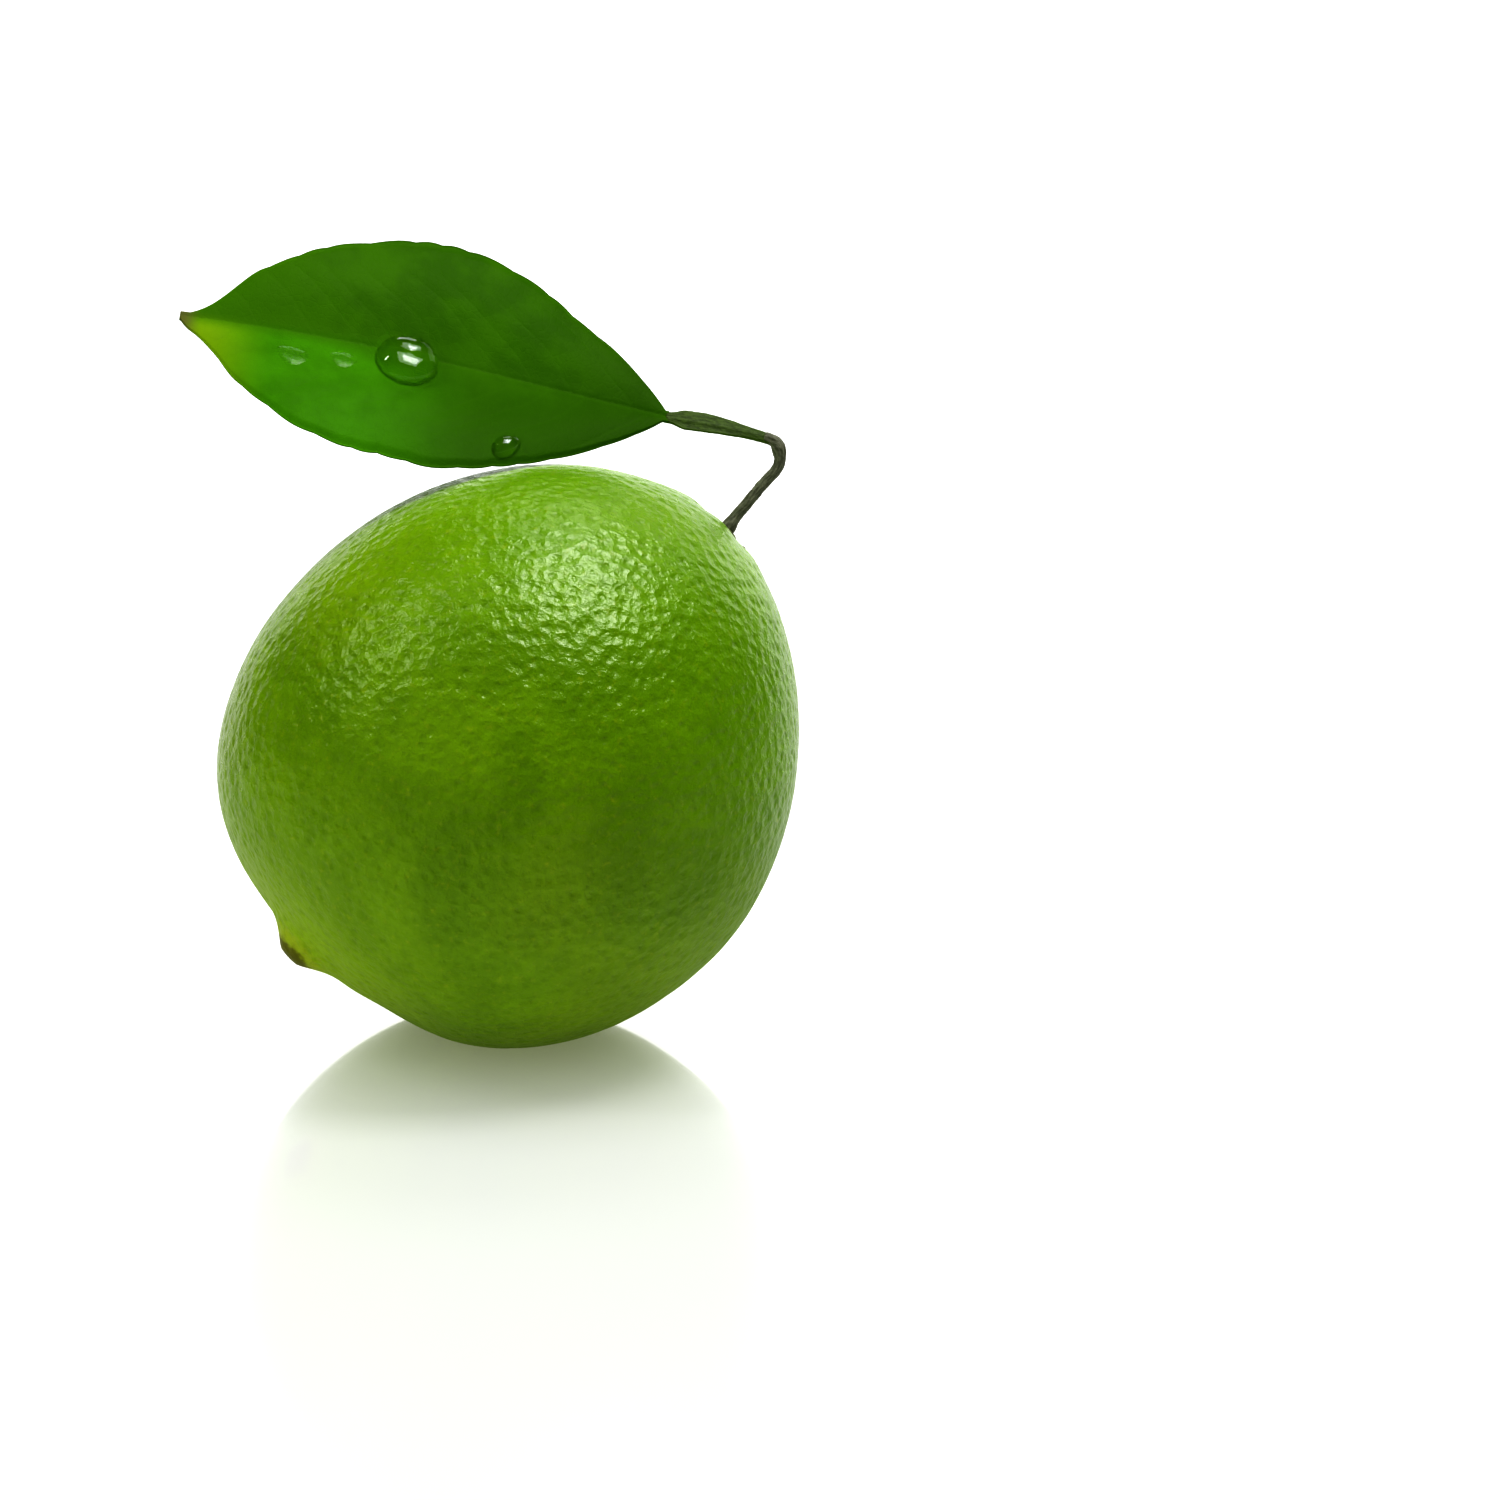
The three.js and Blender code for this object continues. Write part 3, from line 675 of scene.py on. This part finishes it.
def leafMaterial():
    paint = Paint("leafSkin", Specular_IOR_Level=0.011, IOR=1.45)
    place = paint.place()
    blade = paint.mark("blade", "Vector")
    vein = paint.mark("vein")
    along = paint.mark("along")
    far = paint.mark("far")
    upperFace = paint.smooth(paint.mark("upperFace"), 0.4, 0.6)
    net = 1 - paint.smooth(paint.cells(blade, 0.85, 0.9, "DISTANCE_TO_EDGE"), 0.0, 0.10)
    mottle = paint.noise(place, 6.0, 3.0, 0.6)
    # Painted light and shade: the near half towards the tip gets the lit greens, the rest the shaded
    # greens.
    litGreen = paint.blend(paint.smooth(mottle, 0.35, 0.65), *leaf["paintedLitGreens"])
    shadedGreen = paint.blend(paint.smooth(mottle, 0.35, 0.65), *leaf["paintedShadeGreens"])
    shadedGreen = paint.blend(far * paint.smooth(along, 0.62, 0.90) * 0.8, shadedGreen, leaf["farGreen"])
    # Painted shade: the near half is darker wherever it is not painted lit.
    shadedGreen = paint.blend((1 - far) * 0.8, shadedGreen, leaf["nearShadeGreen"])
    sunlit = (1 - far) * paint.smooth(along, 0.36, 0.66)
    top = paint.blend(sunlit, shadedGreen, litGreen)
    # Painted shade: the blade is darker towards its base.
    top = paint.blend(paint.smooth(along, 0.34, 0.05) * 0.5, top, leaf["baseShadeGreen"])
    # The near half's tip is lighter and yellower: partly its own colour and partly painted light.
    top = paint.blend((1 - far) * paint.smooth(along, 0.80, 0.97), top, leaf["tipYellowAndLight"])
    top = paint.blend(paint.smooth(along, 0.955, 0.995) * 0.8, top, leaf["tipBrown"])
    top = paint.blend(vein * 0.06, top, leaf["veinGreen"])
    top = paint.blend(net * 0.05, top, leaf["netGreen"])
    low = paint.blend(paint.smooth(mottle, 0.3, 0.7), *leaf["undersideGreens"])
    low = paint.blend(vein * 0.6, low, leaf["undersideVein"])
    colour = paint.blend(upperFace, low, top)
    fine = paint.noise(place, 0.14, 2.0, 0.6)
    height = fine * 0.25 - net * 0.35 - vein * 0.3
    roughness = 0.46 - upperFace * 0.20 + mottle * 0.08
    return paint.finish(Base_Color=colour, Roughness=roughness, Normal=paint.bump(height, 0.02))


leafBlade = fit(makeLeaf(), leafMaterial(), "leaf_blade")
print("leaf", len(leafBlade.data.polygons), "faces")


# The leaf stalk: a tube whose section is a round core with thin wings beside it,
# height = wing + core * exp(-(x / coreRadius)^2), flat above and round below.

stalk = {
    "endHalf": 0.60, "wingHalf": 1.22, "jointHalf": 0.62, "wingThickness": 0.13,
    "core": 0.40, "coreRadius": 0.52, "grooveDepth": 0.06, "grooveRadius": 0.2,
    "overlap": 0.35, "dome": 0.3,
    "route": [
        [26.1, 15.28, 56.9], [25.6, 15.3, 57.08], [23.3, 15.5, 57.7],
        [20.8, 15.7, 58.3], [18.5, 15.8, 58.7], [15.95, 15.9, 59.05],
    ],
    "greens": ((0.046, 0.078, 0.010), (0.082, 0.135, 0.020)), "edgeGreen": (0.105, 0.190, 0.022),
    "around": 90, "along": 200,
}


def stalkHalf(t):
    wing = smooth(t, 0.04, 0.68) * (1 - smooth(t, 0.80, 0.97))
    ends = lerp(stalk["endHalf"], stalk["jointHalf"], smooth(t, 0.5, 1))
    return ends + (stalk["wingHalf"] - ends) * wing


def makeStalk():
    path = route([*stalk["route"], leafBase + leafHeading * stalk["overlap"]], stalk["along"])

    def section(t, q):
        half = stalkHalf(t)
        x = half * np.cos(q)
        core = stalk["core"] * hump(x, stalk["coreRadius"])
        flatTop = np.where(np.sin(q) > 0, 0.45, 1.0)
        groove = stalk["grooveDepth"] * hump(x, stalk["grooveRadius"])
        groove = groove * smooth(np.sin(q), 0, 0.5) * smooth(t, 0.2, 0.5)
        place = np.stack([t * 11, np.cos(q), np.sin(q)], -1)
        thickness = stalk["wingThickness"] + core * flatTop
        height = thickness * np.sin(q) / np.maximum(np.abs(np.sin(q)), 0.35) - groove
        swell = 1 + 0.04 * softNoise(place, 0.8) + 0.02 * softNoise(place + 3, 0.3)
        return x * swell, height * swell

    def marks(t, q):
        return {"edge": np.abs(np.cos(q))}

    return tube("leafStalk", path, leafSide, section, stalk["around"], stalk["dome"], marks)


def stalkMaterial():
    paint = Paint("stalkSkin", Specular_IOR_Level=0.12)
    place = paint.place()
    streak = paint.noise(paint.ring(0.2, 0.5), 0.16, 4.0, 0.6)
    fleck = paint.noise(place, 0.2, 2.0, 0.6)
    colour = paint.blend(paint.smooth(streak, 0.35, 0.65), *stalk["greens"])
    colour = paint.blend(paint.smooth(paint.mark("edge"), 0.8, 1.0) * 0.5, colour, stalk["edgeGreen"])
    bump = paint.bump(streak + fleck * 0.4, 0.05)
    return paint.finish(Base_Color=colour, Roughness=0.42 + fleck * 0.2, Normal=bump)


leafStalk = fit(makeStalk(), stalkMaterial(), "petiole")
print("leaf stalk", len(leafStalk.data.polygons), "faces")


# Water drops: the top spans the rim, raised by height * sqrt(1 - r^flat) for r from 0 in the middle to 1 at
# the rim. The underside lies just under the leaf's skin. A drop lies at share s of the blade's length and t
# across it, and its rim wavers by its uneven share of the radius.

drops = {
    "around": 96, "across": 61, "sunk": 0.10, "thinBelow": 1.0,
    "shapes": {
        "large": {"s": 0.540, "t": -0.09, "radius": 3.2, "height": 1.75, "uneven": 0.05, "flat": 3.0},
        "middle": {"s": 0.668, "t": -0.20, "radius": 1.4, "height": 0.26, "uneven": 0.10, "flat": 2.0},
        "tip": {"s": 0.770, "t": -0.29, "radius": 1.6, "height": 0.26, "uneven": 0.12, "flat": 2.0},
        "edge": {"s": 0.324, "t": -0.82, "radius": 1.4, "height": 1.25, "uneven": 0.05, "flat": 2.4},
    },
}


def makeDrop(name, shape):
    p, q = roundGrid(np.linspace(0, np.pi, drops["across"]), drops["around"])
    reach = shape["radius"] * (1 + shape["uneven"] * (0.6 * np.cos(2 * q + 0.5) + 0.5 * np.sin(3 * q)))
    out = np.sin(p)
    s = shape["s"] + out * reach * np.cos(q) / leafLength
    halfWidth = leafHalfWidth(np.array(shape["s"]), np.array(shape["t"]))
    t = shape["t"] + out * reach * np.sin(q) / halfWidth
    underside, _ = leafPlace(s, t, leaf["halfThickness"] - drops["sunk"], bare=True)
    rim = underside[drops["across"] // 2]
    middle = rim.mean(0)
    up = unit(np.cross(rim - middle, np.roll(rim, -1, 0) - middle).sum(0))
    up = up * np.sign(up @ leafUp)
    dome = shape["height"] * np.sqrt(np.clip(1 - out ** shape["flat"], 0, 1))
    top = middle + (rim - middle) * out[..., None] + up * dome[..., None]
    return closedSkin(name, np.where((p < np.pi / 2)[..., None], top, underside))


def waterMaterial(name, roughness, opacity):
    return Paint(
        name, Base_Color=(1, 1, 1, 1), Roughness=roughness, IOR=1.333, Transmission_Weight=1.0,
        Specular_IOR_Level=0.5, Alpha=opacity,
    ).material


clear, thin = waterMaterial("clearWater", 0.0, 1.0), waterMaterial("thinWater", 0.18, 0.3)
for which, shape in drops["shapes"].items():
    water = thin if shape["height"] < drops["thinBelow"] else clear
    fit(makeDrop("dewDrop-" + which, shape), water, "water_drop_" + which)
print("water drops", len(drops["shapes"]))


# The floor and the studio. The floor's gloss fades as 1 / (1 + (distance / reach)^2) from the resting spot.
# The floor glows, painted light that keeps it evenly white, and near the resting spot the glow is dimmer
# and
# yellower: a painted shadow tinted like the lime's reflection. Directions are from the lime: x right, y
# back and z up.

studio = {
    "floorSize": 6.0, "floorColour": (0.24, 0.24, 0.24), "floorRoughness": 0.20,
    "glossRoughness": 0.06, "glossIor": 2.2, "glossReach": 38.0,
    "floorGlow": 0.42, "nearShadowGlow": (0.42, 0.43, 0.30), "shadeTo": 42.0,
    "world": 0.02, "lightDistance": 1.0,
    "distance": 0.8, "elevation": 17.0, "frameWidth": 0.150, "aimRight": 0.02384, "aimUp": 0.00137,
    # A sheen light shows in reflections alone, and the front fill in everything but reflections.
    "lights": {
        "overheadKey": {"from": (0.35, 0.05, 0.93), "size": (0.38, 0.3), "power": 5.3},
        "leftStrip": {
            "from": (-0.62, -0.065, 0.78), "along": (0.35, 0.10, 0.39),
            "size": (0.38, 0.06), "power": 1.6,
        },
        "overheadSheen": {"from": (0.31, 0.0, 0.92), "size": (0.64, 0.6), "power": 6.0, "diffuse": False},
        "leftSheen": {
            "from": (-0.63, -0.06, 0.77), "along": (0.35, 0.10, 0.39),
            "size": (0.38, 0.06), "power": 1.1, "diffuse": False,
        },
        "backBox": {"from": (0.08, 0.6, 0.79), "size": (0.46, 0.23), "power": 1.45},
        "rearLeft": {"from": (-0.45, 0.88, 0.15), "size": (0.5, 0.28), "power": 0.55},
        "rearRight": {"from": (0.6, 0.65, 0.45), "size": (0.5, 0.5), "power": 0.6},
        "frontFill": {"from": (-0.62, -0.7, 0.34), "size": (1.4, 1.0), "power": 3.45, "glossy": False},
        "horizonPanel": {"from": (0.31, 0.93, 0.21), "size": (1.0, 0.46), "power": 1.8},
    },
}


def makeFloor():
    half = studio["floorSize"] / 2 / mm
    corners = np.array([[-half, -half, 0], [half, -half, 0], [half, half, 0], [-half, half, 0]])
    floor = meshObject("floor", corners, np.array([[0, 1, 2, 3]]))
    paint = Paint(
        "paleFloor", Base_Color=(*studio["floorColour"], 1), Roughness=studio["floorRoughness"],
        Coat_Roughness=studio["glossRoughness"], Coat_IOR=studio["glossIor"],
        Emission_Strength=studio["floorGlow"],
    )
    away = paint.node("ShaderNodeVectorMath", {"operation": "LENGTH"}, {0: paint.place()}, "Value")
    gloss = 1 / (1 + (away / studio["glossReach"]) ** 2)
    # Painted shadow: the glow is dimmer and yellower near the resting spot.
    glowWithPaintedShadow = paint.blend(paint.smooth(away, 0, studio["shadeTo"]), studio["nearShadowGlow"], (1, 1, 1))
    floor.data.materials.append(paint.finish(Coat_Weight=gloss, Emission_Color=glowWithPaintedShadow))


# An area light at a direction from the lime, facing it, with its length along x or a direction of its own.
def makeLight(name, light, target):
    lamp = bpy.data.lights.new(name, "AREA")
    lamp.shape = "RECTANGLE"
    lamp.size, lamp.size_y = light["size"]
    lamp.energy = light["power"]
    away = Vector(light["from"]).normalized()
    along = Vector(light.get("along", (1, 0, 0)))
    along = (along - away * along.dot(away)).normalized()
    made = bpy.data.objects.new(name, lamp)
    made.visible_glossy = light.get("glossy", True)
    made.visible_diffuse = light.get("diffuse", True)
    made.visible_transmission = made.visible_diffuse
    turn = Matrix((along, away.cross(along), away)).transposed()
    made.matrix_world = Matrix.Translation(target + away * studio["lightDistance"]) @ turn.to_4x4()
    scene.collection.objects.link(made)


def makeCamera():
    tilt = np.radians(studio["elevation"])
    right, up = Vector((1, 0, 0)), Vector((0, np.sin(tilt), np.cos(tilt)))
    back = right.cross(up)
    aim = Vector(limeCentre * mm) + right * studio["aimRight"] + up * studio["aimUp"]
    camera = bpy.data.objects.new("camera", bpy.data.cameras.new("camera"))
    camera.data.lens = camera.data.sensor_width * studio["distance"] / studio["frameWidth"]
    camera.data.clip_end = 20
    turn = Matrix((right, up, back)).transposed()
    camera.matrix_world = Matrix.Translation(aim + back * studio["distance"]) @ turn.to_4x4()
    scene.collection.objects.link(camera)
    scene.camera = camera


def makeWorld():
    world = bpy.data.worlds.new("studio")
    world.use_nodes = True
    background = world.node_tree.nodes["Background"]
    background.inputs["Color"].default_value = (1, 1, 1, 1)
    background.inputs["Strength"].default_value = studio["world"]
    scene.world = world
    scene.view_settings.view_transform = "Standard"
    scene.view_settings.look = "Very High Contrast"


makeFloor()
for name, light in studio["lights"].items():
    makeLight(name, light, Vector(limeCentre * mm))
makeCamera()
makeWorld()
print("studio ready")
